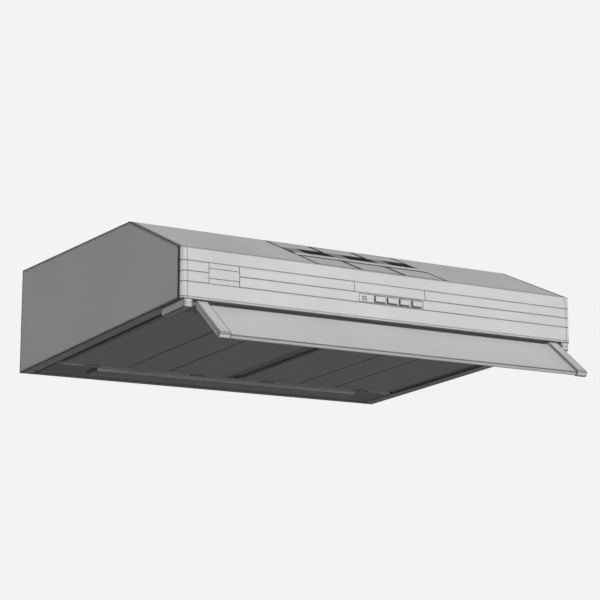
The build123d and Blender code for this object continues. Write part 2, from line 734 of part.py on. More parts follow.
def motor_bracket():
    """Three-armed plate that hangs the motor from the fan housing."""
    plate = rod_z(0, 0, BRACKET_Z, 28)
    for x, y in circle_points(BRACKET_SCREW_CIRCLE, 3, start=90):
        arm = box((0, BRACKET_SCREW_CIRCLE), (-7, 7), BRACKET_Z)
        plate += Rot(Z=math.degrees(math.atan2(y, x))) * arm + rod_z(x, y, BRACKET_Z, 7)
    for x, y in circle_points(BRACKET_SCREW_CIRCLE, 3, start=90):
        plate -= rod_z(x, y, BRACKET_Z, SCREW_CLEAR)
    return Pos(*FAN, 0) * plate


def fan_screws():
    """Screws round the housing's split and in the motor bracket's arms."""
    split = [(x, y, FAN_SPLIT + 2) for x, y in SCROLL_SCREWS]
    arms = circle_points(BRACKET_SCREW_CIRCLE, 3, start=90)
    bracket = [(x + FAN[0], y + FAN[1], BRACKET_Z[0]) for x, y in arms]
    return screw_group(split, (0, 0, -1), 6) + screw_group(bracket, (0, 0, 1), 4.2)


def motor():
    """Motor can with its laminated waist and the bearing bore."""
    low, high = MOTOR_Z
    can = rod_z(0, 0, MOTOR_Z, MOTOR_RADIUS - 3) + rod_z(0, 0, (low + 12, high - 12), MOTOR_RADIUS)
    can += rod_z(0, 0, (low - 4, low), 9)
    return Pos(*FAN, 0) * (can - rod_z(0, 0, (low - 5, high - 6), SHAFT_RADIUS + 0.04))


def motor_shaft():
    """Shaft from the motor to the impeller's hub."""
    return rod_z(*FAN, (HUB_FOOT, MOTOR_Z[1] - 8), SHAFT_RADIUS)


def impeller():
    """Forward-curved wheel on a cup that takes the motor inside it."""
    wall = 1.6
    cup = ring_z(0, 0, (CUP_FOOT, CUP_TOP), CUP_RADIUS + wall, CUP_RADIUS)
    cup += ring_z(0, 0, (CUP_FOOT, CUP_FOOT + wall), CUP_RADIUS + 1, SHAFT_RADIUS)
    cup += ring_z(0, 0, (HUB_FOOT, CUP_FOOT), HUB_RADIUS, SHAFT_RADIUS)
    wheel = cup + ring_z(0, 0, (CUP_TOP - wall, CUP_TOP), IMPELLER_RADIUS, CUP_RADIUS + 1)
    wheel += ring_z(0, 0, (IMPELLER_FOOT, IMPELLER_FOOT + 2), IMPELLER_RADIUS, BLADE_INNER)
    blade_foot, blade_top = IMPELLER_FOOT + 1, CUP_TOP - 0.6
    blade = extrude(Pos(0, 0, blade_foot) * blade_section(), amount=blade_top - blade_foot)
    blades = [Rot(Z=360 * i / BLADE_COUNT) * blade for i in range(BLADE_COUNT)]
    return Pos(*FAN, 0) * wheel.fuse(*blades)


def blade_section():
    """Section of one forward-curved blade: an arc and the same arc a millimetre further round."""
    inner, middle, outer = (BLADE_INNER + 0.2, 0), (60, 1.2), (IMPELLER_RADIUS - 0.8, 6)
    arc = ThreePointArc(inner, middle, outer)
    shifted_arc = Pos(0, -1, 0) * arc
    ends = [Line(arc @ i, shifted_arc @ i) for i in (0, 1)]
    return make_face(arc + shifted_arc + ends)


def capacitor():
    """Motor capacitor, upright beside the outlet chamber."""
    can = rod_z(*CAPACITOR, (CAPACITOR_FOOT, FAN_TOP), CAPACITOR_RADIUS)
    return can + rod_z(*CAPACITOR, (CAPACITOR_FOOT - 6, CAPACITOR_FOOT), 4)


# ---- Duct outlet ----
FLAP_AXIS_Z = 8.0
FLAP_PIN = 2.0
FLAP_RADIUS = 56.5
KNUCKLES = ((-50.0, -30.0), (-29.5, -10.5), (10.5, 29.5), (30.0, 50.0))


def duct_spigot():
    """Round outlet collar with its flange and the holes for the flap pin."""
    wall = 2.0
    collar = ring_z(0, 0, (-8, SPIGOT_HEIGHT), SPIGOT_RADIUS, SPIGOT_RADIUS - wall)
    collar += ring_z(0, 0, (0, 2), SPIGOT_RADIUS + 12, SPIGOT_RADIUS - wall)
    for x, y in circle_points(SPIGOT_SCREW_CIRCLE, SPIGOT_SCREWS, start=45):
        collar -= rod_z(x, y, (-1, 3), SCREW_CLEAR)
    return collar - rod_y(0, (-SPIGOT_RADIUS - 2, SPIGOT_RADIUS + 2), FLAP_AXIS_Z, FLAP_PIN)


def spigot_screws():
    """Screws through the collar's flange, the casing and the fan housing."""
    seats = [(x, y, 2) for x, y in circle_points(SPIGOT_SCREW_CIRCLE, SPIGOT_SCREWS, start=45)]
    return screw_group(seats, (0, 0, -1), 8)


def flap_pin():
    """Pin across the collar that both flaps turn on."""
    reach = SPIGOT_RADIUS - 1
    return rod_y(0, (-reach, reach), FLAP_AXIS_Z, FLAP_PIN)


def backdraft_flap(own, other):
    """Right-hand half-disc flap, with its own knuckles and room for the other flap's."""
    disc = rod_z(0, 0, (FLAP_AXIS_Z - 0.8, FLAP_AXIS_Z + 0.8), FLAP_RADIUS)
    disc &= box((0.4, 60), (-60, 60), (0, 2 * FLAP_AXIS_Z))
    for span in other:
        clear = (span[0] - 0.4, span[1] + 0.4)
        disc -= rod_y(0, clear, FLAP_AXIS_Z, 4.0)
    disc -= rod_y(0, (-60, 60), FLAP_AXIS_Z, FLAP_PIN + 0.5)
    for span in own:
        disc += rod_y(0, span, FLAP_AXIS_Z, 3.5) - rod_y(0, span, FLAP_AXIS_Z, FLAP_PIN + 0.05)
    return disc


# ---- Electrical fittings ----
TERMINAL_X = (150.0, 215.0)
TERMINAL_Y = (60.0, 130.0)
TERMINAL_FOOT = -38.0


def terminal_box():
    """Open-bottomed junction box under the gland."""
    outer = box(TERMINAL_X, TERMINAL_Y, (TERMINAL_FOOT, FAN_TOP))
    x = (TERMINAL_X[0] + 2, TERMINAL_X[1] - 2)
    y = (TERMINAL_Y[0] + 2, TERMINAL_Y[1] - 2)
    inner = box(x, y, (TERMINAL_FOOT - 1, FAN_TOP - 2))
    return outer - inner - rod_z(*GLAND, (FAN_TOP - 3, 0), GLAND_BODY + 0.2)


def terminal_cover():
    """Cover that closes the junction box from below."""
    return box(TERMINAL_X, TERMINAL_Y, (TERMINAL_FOOT - 2, TERMINAL_FOOT))


def terminal_block():
    """Row of connection terminals."""
    block = box((168, 197), (70, 84), (-20, FAN_TOP - 2))
    for i in range(3):
        block -= rod_z(173.5 + 9 * i, 77, (-21, -14), 2.2)
    return block


def cable_gland():
    """Gland where the mains cord enters."""
    body = rod_z(*GLAND, (-12, 3), GLAND_BODY) + rod_z(*GLAND, (0, 3), GLAND_BODY + 4)
    body += rod_z(*GLAND, (3, 14), GLAND_BODY - 1)
    return body - rod_z(*GLAND, (-13, 15), GLAND_BORE)



def wire_run(points, radius, bend):
    """Bundle of wires along points, rounded at its corners."""
    path = FilletPolyline(*points, radius=bend)
    start = Plane(origin=path @ 0, z_dir=path % 0)
    return sweep(start * Circle(radius), path=path)


def wiring_loom():
    """Wires from the junction box to the switches and to the lamps."""
    x = (GLAND[0] + 14, GLAND[0] - 14)
    y, z = TERMINAL_Y[0], TERMINAL_FOOT + 12
    switch_y = (SWITCH_FRONT + SWITCH_BACK) / 2
    bend_y = switch_y + 105
    to_switch = [(x[0], y, z), (x[0], bend_y, z), (x[0], switch_y, BUTTON_HEIGHT)]
    to_switch += [(SWITCH_X[1], switch_y, BUTTON_HEIGHT)]
    lamp_y, lamp_z = under_point(HOUSING_U[1] - 8, HOUSING_TOP)
    to_lamps = [(x[1], TERMINAL_Y[1], z), (x[1], lamp_y, z), (x[1], lamp_y, lamp_z + 0.5)]
    return wire_run(to_switch, 2.5, 14) + wire_run(to_lamps, 2.0, 6)


# ---- Visor ----
ARM_X = (262.5, 279.0)
ARM_N = (-4.4, 4.6)
PANEL_N = (-3.3, 1.7)
PANEL_REACH = 73.4
PIN_RADIUS = 3.0
BLOCK_X = (283.5, 296.0)
BLOCK_U = (0.2, 60.0)
BLOCK_W = (-11.2, 0.0)
TONGUE = ((4.5, 69.5), (-2.4, 0.8))


def hinge_block():
    """Right-hand bearing block of the visor, screwed under the side flange."""
    block = box(BLOCK_X, BLOCK_U, BLOCK_W)
    block = fillet(block.edges().filter_by(Axis.Z), 1.8)
    block -= rod_x((BLOCK_X[0] - 1, BLOCK_X[1] - 2), PIVOT_U, PIVOT_W, PIN_RADIUS + 0.05)
    for u in HINGE_SCREWS_U:
        block -= rod_z(HINGE_SCREW_X, u, (-9, 1), SCREW_CLEAR)
    return UNDER * block


def hinge_block_screws():
    """Screws through the front rail's tabs and the side flanges into the hinge blocks."""
    seats = [(x, u, 2 * SHEET) for x in (-HINGE_SCREW_X, HINGE_SCREW_X) for u in HINGE_SCREWS_U]
    return UNDER * screw_group(seats, (0, 0, -1), 10)


def visor_arm():
    """Right-hand visor arm, rounded at the pivot, with a slot that holds the panel's end."""
    low, high = ARM_N
    tip = VISOR_REACH
    outline = [(0, high), (-tip + 2.6, high), (-tip + 0.9, high - 1.8), (-tip - 0.4, low + 2)]
    outline += [(-tip + 1.4, low), (0, low)]
    arm = prism(outline, ARM_X) + rod_x(ARM_X, 0, (low + high) / 2, (high - low) / 2)
    long_edges = arm.edges().filter_by(Axis.Y).sort_by(Axis.X)[-2:]
    arm = chamfer(long_edges, 1.4)
    (near, far), n = TONGUE
    arm -= box((ARM_X[0] - 1, ARM_X[0] + 4), (-far - 0.2, -near + 0.2), (n[0] - 0.1, n[1] + 0.1))
    return VISOR * (arm - rod_x((ARM_X[0] + 6, ARM_X[1] + 1), 0, 0, PIN_RADIUS))


def visor_panel():
    """Deflector between the arms: a skin with a returned rim, ribs and end tongues."""
    half = ARM_X[0] - 0.2
    low, high = PANEL_N
    panel = box((-half, half), (-PANEL_REACH, -0.6), PANEL_N)
    panel -= box((-half + 2.5, half - 2.5), (-PANEL_REACH + 2.5, -3.1), (low - 1, high - 1.8))
    for i in range(-3, 4):
        x = i * half / 4
        panel += box((x - 0.8, x + 0.8), (-PANEL_REACH + 2, -3), (low + 0.6, high - 1))
    (near, far), n = TONGUE
    for side in (-1, 1):
        x = sorted((side * (half - 1), side * (half + 3.8)))
        panel += box(x, (-far, -near), n)
    return VISOR * panel


def visor_lip():
    """Trim strip along the visor's outer edge."""
    half = ARM_X[0] - 0.2
    strip = box((-half, half), (-PANEL_REACH - 1.2, -PANEL_REACH), PANEL_N)
    return VISOR * strip


def visor_pins():
    """The two pins the visor swings on."""
    right = rod_x((ARM_X[0] + 6, BLOCK_X[1] - 3), 0, 0, PIN_RADIUS)
    return VISOR * (right + mirrored(right))


# ---- Every piece, under its own name ----
pieces["casing_shell"] = casing_shell()
add_pair("side_panel", side_panel())
for label, bay in (("left", -1), ("centre", 0), ("right", 1)):
    pieces["vent_grille_" + label] = vent_grille(bay * VENT_BAY)

pieces["front_fascia"] = front_fascia()
pieces["badge_plate"] = badge_plate()
pieces["legend_plate"] = surface_layer(*plate_window(LEGEND, -SEAM / 2))
pieces["button_bezel"] = button_bezel()
for number, centre in enumerate(button_centres(), start=1):
    pieces[f"push_button_{number}"] = push_button(centre)
pieces["indicator_lens"] = indicator_lens()
pieces["switch_block"] = switch_block()

pieces["front_rail"] = front_rail()
pieces["centre_divider"] = centre_divider()
pieces["divider_clip"] = divider_clip()
pieces["rear_panel"] = rear_panel()
pieces["panel_screws"] = panel_screws()

add_pair("filter_frame", filter_frame())
add_pair("filter_mesh", filter_mesh())
add_pair("filter_latch", filter_latch())

pieces["lamp_cover"] = lamp_cover()
pieces["lamp_housing"] = lamp_housing()
pieces["lamp_holders"] = lamp_holder() + mirrored(lamp_holder())
pieces["lamp_caps"] = lamp_cap() + mirrored(lamp_cap())
add_pair("lamp_bulb", lamp_bulb())

pieces["fan_scroll_upper"] = fan_scroll_upper()
pieces["fan_scroll_lower"] = fan_scroll_lower()
pieces["inlet_guard"] = inlet_guard()
pieces["motor_bracket"] = motor_bracket()
pieces["fan_screws"] = fan_screws()
pieces["motor"] = motor()
pieces["motor_shaft"] = motor_shaft()
pieces["impeller"] = impeller()
pieces["capacitor"] = capacitor()

pieces["duct_spigot"] = duct_spigot()
pieces["spigot_screws"] = spigot_screws()
pieces["flap_pin"] = flap_pin()
pieces["backdraft_flap_right"] = backdraft_flap(KNUCKLES[0::2], KNUCKLES[1::2])
pieces["backdraft_flap_left"] = mirrored(backdraft_flap(KNUCKLES[1::2], KNUCKLES[0::2]))

pieces["terminal_box"] = terminal_box()
pieces["terminal_cover"] = terminal_cover()
pieces["terminal_block"] = terminal_block()
pieces["cable_gland"] = cable_gland()
pieces["wiring_loom"] = wiring_loom()

add_pair("hinge_block", hinge_block())
pieces["hinge_block_screws"] = hinge_block_screws()
add_pair("visor_arm", visor_arm())
pieces["visor_panel"] = visor_panel()
pieces["visor_lip"] = visor_lip()
pieces["visor_pins"] = visor_pins()

for name, shape in pieces.items():
    export_step(shape, f"parts/{name}.step")
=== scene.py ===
"""Camera, studio, materials and fine details of an under-cabinet range hood with a fold-out visor."""
import json
import math

import bmesh
import bpy
from mathutils import Matrix, Vector


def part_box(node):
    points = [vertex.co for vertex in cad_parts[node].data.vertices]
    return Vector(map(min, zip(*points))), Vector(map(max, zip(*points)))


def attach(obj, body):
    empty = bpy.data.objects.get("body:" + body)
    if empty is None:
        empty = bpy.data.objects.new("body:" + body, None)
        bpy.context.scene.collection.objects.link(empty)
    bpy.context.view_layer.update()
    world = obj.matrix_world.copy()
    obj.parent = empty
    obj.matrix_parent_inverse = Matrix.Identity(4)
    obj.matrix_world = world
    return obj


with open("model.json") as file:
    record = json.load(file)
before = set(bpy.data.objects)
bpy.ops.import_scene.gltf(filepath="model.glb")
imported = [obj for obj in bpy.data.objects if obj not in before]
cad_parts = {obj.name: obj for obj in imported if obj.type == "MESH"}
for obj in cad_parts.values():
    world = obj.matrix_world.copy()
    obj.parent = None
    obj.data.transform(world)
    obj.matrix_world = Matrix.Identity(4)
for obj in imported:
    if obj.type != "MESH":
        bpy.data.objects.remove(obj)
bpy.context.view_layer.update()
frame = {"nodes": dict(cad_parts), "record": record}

# ---- Camera: the lens looks slightly up at the hood's front left corner ----
CAMERA_PLACE = (-1.2836, -2.1914, -0.5541)
CAMERA_PITCH = 11.43        # degrees above the horizontal
CAMERA_YAW = 31.53          # degrees from +Y towards +X
LENS_LENGTH = 108.3
SENSOR_WIDTH = 36.0


def add_camera():
    """Camera at the reference viewing angle."""
    data = bpy.data.cameras.new("camera")
    data.sensor_width = SENSOR_WIDTH
    data.lens = LENS_LENGTH
    camera = bpy.data.objects.new("camera", data)
    camera.location = CAMERA_PLACE
    camera.rotation_euler = (math.radians(90 + CAMERA_PITCH), 0, math.radians(-CAMERA_YAW))
    bpy.context.scene.collection.objects.link(camera)
    bpy.context.scene.camera = camera


# ---- Studio ----
BACKDROP = 0.895            # what the lens sees behind the hood
AMBIENT = 0.15
FLOOR_HEIGHT = -3.0         # low enough that the underside can be seen from below
FLOOR_SIZE = 30.0
SUNS = {                    # direction it shines from, strength, angular size in degrees
    "key_light": ((-0.24, -0.9, 0.155), 3.4, 18),
    "wall_light": ((0.1, 0.9, 0.45), 0.2, 25),
    "right_light": ((0.95, -0.1, 0.2), 1.3, 25),
}


def add_sun(name, towards, strength, spread):
    """Soft sun that shines from the direction towards; spread is its angular size in degrees."""
    data = bpy.data.lights.new(name, "SUN")
    data.energy = strength
    data.angle = math.radians(spread)
    sun = bpy.data.objects.new(name, data)
    sun.rotation_euler = Vector(towards).to_track_quat("Z", "Y").to_euler()
    bpy.context.scene.collection.objects.link(sun)


def seen_or_lit(tree, shader_type, seen, lit):
    """A pale shader for what the lens sees directly and a dimmer one for what lights the hood."""
    nodes, links = tree.nodes, tree.links
    mix = nodes.new("ShaderNodeMixShader")
    links.new(nodes.new("ShaderNodeLightPath").outputs["Is Camera Ray"], mix.inputs[0])
    for slot_number, level in ((1, lit), (2, seen)):
        shader = nodes.new(shader_type)
        shader.inputs["Color"].default_value = (level, level, level, 1)
        links.new(shader.outputs[0], mix.inputs[slot_number])
    return mix.outputs[0]


def add_studio():
    """Pale world, pale floor, a broad key light from the front and weaker ones from the wall and right."""
    scene = bpy.context.scene
    world = bpy.data.worlds.new("studio")
    scene.world = world
    world.use_nodes = True
    world.node_tree.nodes.clear()
    output = world.node_tree.nodes.new("ShaderNodeOutputWorld")
    shade = seen_or_lit(world.node_tree, "ShaderNodeBackground", BACKDROP, AMBIENT)
    world.node_tree.links.new(shade, output.inputs["Surface"])

    bpy.ops.mesh.primitive_plane_add(size=FLOOR_SIZE, location=(0, 0, FLOOR_HEIGHT))
    floor = bpy.context.object
    floor.name = "floor"
    paint = bpy.data.materials.new("floor_paint")
    paint.use_nodes = True
    paint.node_tree.nodes.clear()
    output = paint.node_tree.nodes.new("ShaderNodeOutputMaterial")
    shade = seen_or_lit(paint.node_tree, "ShaderNodeEmission", BACKDROP, AMBIENT)
    paint.node_tree.links.new(shade, output.inputs["Surface"])
    floor.data.materials.append(paint)

    for name, (towards, strength, spread) in SUNS.items():
        add_sun(name, towards, strength, spread)
    scene.view_settings.view_transform = "Standard"


# ---- Materials ----
class Finish:
    """One procedural material, built up round its Principled shader."""

    def __init__(self, name, metallic=0.0):
        self.material = bpy.data.materials.new(name)
        self.material.use_nodes = True
        self.tree = self.material.node_tree
        self.shader = self.tree.nodes["Principled BSDF"]
        self.shader.inputs["Metallic"].default_value = metallic
        self.place = self.add("TexCoord").outputs["Object"]

    def add(self, kind, inputs=None, **settings):
        """New node with its settings and its inputs, each a value or another node's output."""
        made = self.tree.nodes.new("ShaderNode" + kind)
        for name, value in settings.items():
            setattr(made, name, value)
        for name, value in (inputs or {}).items():
            self.feed(made.inputs[name], value)
        return made

    def feed(self, socket, value):
        """Set or link one input."""
        if isinstance(value, bpy.types.NodeSocket):
            self.tree.links.new(value, socket)
        else:
            socket.default_value = value

    def stretched(self, scale):
        """Object coordinates scaled by a triple."""
        return self.add("Mapping", {"Vector": self.place, "Scale": scale}).outputs["Vector"]

    def noise(self, scale, detail=3.0, place=None):
        """Noise of so many lumps a metre."""
        inputs = {"Vector": place or self.place, "Scale": scale, "Detail": detail}
        return self.add("TexNoise", inputs).outputs["Fac"]

    def spread(self, value, low, high, start=0.0, end=1.0):
        """value mapped from low...high to start...end."""
        inputs = {"Value": value, "From Min": low, "From Max": high, "To Min": start, "To Max": end}
        return self.add("MapRange", inputs).outputs["Result"]

    def sum_of(self, first, second, operation="ADD"):
        """Two numbers added, or joined by another operation."""
        return self.add("Math", {0: first, 1: second}, operation=operation).outputs["Value"]

    def blend(self, amount, first, second):
        """Mix of two colours."""
        inputs = {"Fac": amount, "Color1": first, "Color2": second}
        return self.add("MixRGB", inputs).outputs["Color"]

    def edges(self, width, sharp=0.985, soft=0.9995):
        """1 along sharp edges and in narrow grooves, 0 on open faces and below the soft cosine."""
        rounded = self.add("Bevel", {"Radius": width}, samples=6).outputs["Normal"]
        facing = self.add("NewGeometry").outputs["Normal"]
        dot = self.add("VectorMath", {0: rounded, 1: facing}, operation="DOT_PRODUCT")
        return self.spread(dot.outputs["Value"], sharp, soft, 1.0, 0.0)

    def crevices(self, reach):
        """1 deep in corners, 0 in the open."""
        open_sky = self.add("AmbientOcclusion", {"Distance": reach}, samples=6).outputs["AO"]
        return self.spread(open_sky, 0.25, 0.85, 1.0, 0.0)

    def axes(self):
        """The three object coordinates, one by one."""
        return self.add("SeparateXYZ", {"Vector": self.place}).outputs

    def band(self, value, centre, half):
        """1 where value is within half of centre."""
        return self.add("Math", {0: value, 1: centre, 2: half}, operation="COMPARE").outputs["Value"]

    def ink(self, body, mask, depth):
        """body with dark lines where mask is 1."""
        return self.blend(self.sum_of(mask, depth, "MULTIPLY"), body, INK)

    def colour(self, value):
        """Feed the base colour."""
        self.feed(self.shader.inputs["Base Color"], value)

    def rough(self, value):
        """Feed the roughness."""
        self.feed(self.shader.inputs["Roughness"], value)

    def bump(self, height, distance, strength=1.0):
        """Relief from height, distance high."""
        inputs = {"Height": height, "Distance": distance, "Strength": strength}
        self.feed(self.shader.inputs["Normal"], self.add("Bump", inputs).outputs["Normal"])


def grey(level, warmth=0.0):
    """Opaque colour of one brightness, warmer or cooler by warmth."""
    return (level * (1 + warmth), level, level * (1 - warmth), 1)


INK = grey(0.012)
GROOVE = 0.0008             # reach of the dark line in a scribed groove
EDGE = 0.0036               # and along an outer edge, where less of it shows


def mottled(finish, base, shade_amount=0.35, reach=0.006):
    """Base colour with soft clouds, and painted shade that darkens its corners."""
    cloud = finish.spread(finish.noise(9.0, 4.0), 0.35, 0.65)
    lighter = [min(1, channel * 1.04) for channel in base[:3]] + [1]
    darker = [channel * 0.95 for channel in base[:3]] + [1]
    body = finish.blend(cloud, darker, lighter)
    # Painted shade: ambient occlusion darkens corners and crevices towards a fifth of the base colour.
    corner_shade = finish.sum_of(finish.crevices(reach), shade_amount, "MULTIPLY")
    return finish.blend(corner_shade, body, [channel * 0.2 for channel in base[:3]] + [1])


def enamel_skin(finish):
    """Gloss and orange peel of baked enamel."""
    finish.rough(finish.spread(finish.noise(60.0), 0.3, 0.7, 0.52, 0.62))
    finish.bump(finish.noise(420.0, 2.0), 0.00006)
    finish.shader.inputs["Specular IOR Level"].default_value = 0.15
    return finish.material


def sheet_paint(name, level):
    """Baked enamel on steel sheet, dark along its cut edges and seams."""
    finish = Finish(name)
    body = mottled(finish, grey(level))
    finish.colour(finish.ink(body, finish.edges(EDGE), 0.95))
    return enamel_skin(finish)


CORNER_LINE = (0.292, 0.0004)           # line where the fascia's ends start to turn, and half its width
FASCIA_END = (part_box("front_fascia")[1].x, 0.0003)      # line where they stop, and half its width


def fascia_paint(name, level):
    """Enamel of the fascia, with a fine line where each end starts to turn and one where it stops."""
    finish = Finish(name)
    body = mottled(finish, grey(level))
    x = finish.add("Math", {0: finish.axes()["X"]}, operation="ABSOLUTE").outputs["Value"]
    body = finish.ink(body, finish.band(x, *CORNER_LINE), 0.7)
    body = finish.ink(body, finish.band(x, *FASCIA_END), 0.9)
    finish.colour(finish.ink(body, finish.edges(GROOVE, 0.93, 0.985), 0.95))
    return enamel_skin(finish)


RIDGE_Y = -0.173            # the slope starts here, at height 0
SLOPE_ANGLE = math.radians(23.25)
VENT_BAY = 0.0675           # width of one vent plate
LOUVRE = (0.045, 0.081)     # how far down the slope the louvres start and end
LOUVRE_HALF = 0.0312        # half their width
SLAT_PITCH = 0.00514
SLAT_TIPS = 0.02            # how far in the painted highlight on the slats' ends shows
SLAT_HIGHLIGHT_LEVEL = 0.17       # and how bright that painted highlight is
LOUVRE_SHADE_LEVEL = 0.014       # brightness of the painted shade over the louvre window
BORDER = 0.0034             # dark line down each side of a vent plate
VENT_EDGE = 0.0016          # reach of the dark line along its other edges
RIB = (0.0046, 0.0030)      # rib below the louvre: middle, and half its pale width
RIB_SHADE = 0.004           # half the width of the painted shadow below the rib


def vent_paint(name, level):
    """Enamel of a vent plate whose louvre window is painted dark as shade, with painted highlights on the
    slats' ends.
    """
    finish = Finish(name)
    body = mottled(finish, grey(level))
    axes = finish.axes()
    forward = finish.sum_of(finish.sum_of(axes["Y"], -RIDGE_Y), -math.cos(SLOPE_ANGLE), "MULTIPLY")
    upward = finish.sum_of(axes["Z"], math.sin(SLOPE_ANGLE), "MULTIPLY")
    down = finish.sum_of(forward, upward, "SUBTRACT")
    wrapped = {0: axes["X"], 1: VENT_BAY / 2, 2: -VENT_BAY / 2}
    across = finish.add("Math", wrapped, operation="WRAP").outputs["Value"]
    side = finish.add("Math", {0: across}, operation="ABSOLUTE").outputs["Value"]
    seams = finish.sum_of(finish.edges(VENT_EDGE), finish.band(side, VENT_BAY / 2, BORDER), "MAXIMUM")
    rib = finish.band(down, LOUVRE[1] + RIB[0], RIB[1])
    body = finish.ink(body, finish.sum_of(seams, rib, "SUBTRACT"), 0.98)
    # Painted shadow in a band below the rib.
    body = finish.ink(body, finish.band(down, LOUVRE[1] + sum(RIB) + RIB_SHADE, RIB_SHADE), 0.98)
    # Painted shade over the whole louvre window.
    louvre_shade = finish.band(down, sum(LOUVRE) / 2, (LOUVRE[1] - LOUVRE[0]) / 2 - 0.0002)
    louvre_shade = finish.sum_of(louvre_shade, finish.band(across, 0.0, LOUVRE_HALF), "MULTIPLY")
    body = finish.blend(louvre_shade, body, grey(LOUVRE_SHADE_LEVEL))
    # Painted highlight on the slats' ends, near one side of the louvre window.
    steps = {0: finish.sum_of(down, LOUVRE[0], "SUBTRACT"), 1: SLAT_PITCH, 2: 0.0}
    phase = finish.add("Math", steps, operation="WRAP").outputs["Value"]
    lit_tips = finish.band(phase, SLAT_PITCH / 2, SLAT_PITCH / 4)
    lit_tips = finish.sum_of(lit_tips, finish.band(across, -LOUVRE_HALF + SLAT_TIPS / 2, SLAT_TIPS / 2), "MULTIPLY")
    finish.colour(finish.blend(finish.sum_of(lit_tips, louvre_shade, "MULTIPLY"), body, grey(SLAT_HIGHLIGHT_LEVEL)))
    return enamel_skin(finish)


HIGHLIGHT_LEVEL = 0.9                # brightness of the painted highlights along edges
PANEL_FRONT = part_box("rear_panel")[0].y
PANEL_HIGHLIGHT = (PANEL_FRONT + 0.00152, 0.0007)            # painted highlight along the panel's front edge, and half its width
COVER_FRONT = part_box("lamp_cover")[0].y
COVER_HIGHLIGHT = (COVER_FRONT, 0.0012)      # painted highlight on the front of the lamp cover, and half its width
COVER_SHADE = (COVER_FRONT + 0.003, 0.0014)             # dark band behind that front, and half its width


def zinc_sheet(name, level):
    """Galvanised sheet with pale spangle and streaks from rolling, and a painted highlight along the rear
    panel's front edge.
    """
    finish = Finish(name, metallic=0.35)
    cells = finish.add("TexVoronoi", {"Vector": finish.place, "Scale": 110.0}).outputs["Color"]
    spangle = finish.add("RGBToBW", {"Color": cells}).outputs["Val"]
    streak = finish.noise(1.0, 3.0, finish.stretched((4.0, 420.0, 420.0)))
    tone = finish.sum_of(finish.sum_of(spangle, 0.6, "MULTIPLY"), streak)
    body = finish.blend(finish.spread(tone, 0.4, 1.2), grey(level * 0.88), grey(level * 1.1))
    body = finish.ink(body, finish.edges(GROOVE), 0.6)
    # Painted highlight along the rear panel's front edge.
    finish.colour(finish.blend(finish.band(finish.axes()["Y"], *PANEL_HIGHLIGHT), body, grey(HIGHLIGHT_LEVEL)))
    finish.rough(finish.spread(spangle, 0.0, 1.0, 0.42, 0.6))
    finish.bump(streak, 0.00003)
    return finish.material


def screw_steel(name):
    """Bright zinc-plated steel with turning marks."""
    finish = Finish(name, metallic=0.9)
    # Its corners get stronger painted shade than the other finishes.
    body = mottled(finish, grey(0.42, 0.02), shade_amount=0.5, reach=0.003)
    finish.colour(finish.ink(body, finish.edges(GROOVE / 2), 0.5))
    finish.rough(finish.spread(finish.noise(900.0), 0.3, 0.7, 0.28, 0.45))
    finish.bump(finish.noise(1500.0), 0.00004)
    return finish.material


FILTER_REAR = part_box("filter_frame_left")[1].y
REAR_HIGHLIGHT = (FILTER_REAR - 0.00462, 0.0015)              # painted highlight near that edge, and half its width


def filter_aluminium(name):
    """Rolled aluminium channel of the filter frames, brushed along its length, with a painted highlight
    near its rear edge.
    """
    finish = Finish(name, metallic=0.5)
    brushed = finish.noise(1.0, 4.0, finish.stretched((900.0, 8.0, 900.0)))
    body = finish.blend(finish.spread(brushed, 0.35, 0.65), grey(0.31), grey(0.4))
    body = finish.ink(body, finish.edges(GROOVE), 0.95)
    # Painted highlight near the frames' rear edge.
    finish.colour(finish.blend(finish.band(finish.axes()["Y"], *REAR_HIGHLIGHT), body, grey(HIGHLIGHT_LEVEL)))
    finish.rough(finish.spread(brushed, 0.3, 0.7, 0.38, 0.55))
    finish.bump(brushed, 0.00004)
    return finish.material


MESH_PITCH = 0.0042         # spacing of the expanded metal's strands
MESH_ANGLE = 31.0           # degrees between the strands and the filter's length


def filter_mesh_metal(name):
    """Stack of expanded aluminium: crossing strands with diamond openings painted a little darker as the
    shade in them.
    """
    finish = Finish(name, metallic=0.45)
    height = None
    for turn in (MESH_ANGLE, -MESH_ANGLE):
        turned = finish.add("Mapping", {"Vector": finish.place, "Rotation": (0, 0, math.radians(turn))})
        wave = finish.add("TexWave", {"Vector": turned.outputs["Vector"], "Scale": 31.4 / MESH_PITCH / 100,
                                      "Distortion": 0.6, "Detail": 1.0, "Detail Scale": 4.0})
        strand = finish.spread(wave.outputs["Fac"], 0.45, 0.8)
        height = strand if height is None else finish.sum_of(height, strand, "MAXIMUM")
    cloud = finish.noise(30.0, 3.0)
    # Painted shade: the openings a little darker than the strands.
    shaded_openings = finish.blend(cloud, grey(0.4), grey(0.46))
    body = finish.blend(height, shaded_openings, grey(0.46))
    finish.colour(finish.ink(body, finish.edges(2 * GROOVE), 0.95))
    finish.rough(finish.spread(cloud, 0.3, 0.7, 0.45, 0.6))
    finish.bump(height, 0.0002, 0.3)
    return finish.material


def moulded(name, level, grain=0.00008, roughness=(0.42, 0.55), edge_depth=0.9, warmth=0.0, reach=GROOVE):
    """Injection-moulded plastic with a fine spark-eroded grain."""
    finish = Finish(name)
    body = mottled(finish, grey(level, warmth))
    finish.colour(finish.ink(body, finish.edges(reach), edge_depth))
    finish.rough(finish.spread(finish.noise(140.0), 0.3, 0.7, *roughness))
    finish.bump(finish.noise(1100.0, 2.0), grain)
    return finish.material


BUTTON_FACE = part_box("push_button_1")[0].y
KEY_SHADE_START = BUTTON_FACE + 0.0006        # the painted shade on their sides starts here
KEY_FADE = 0.0002           # and is full this much further back


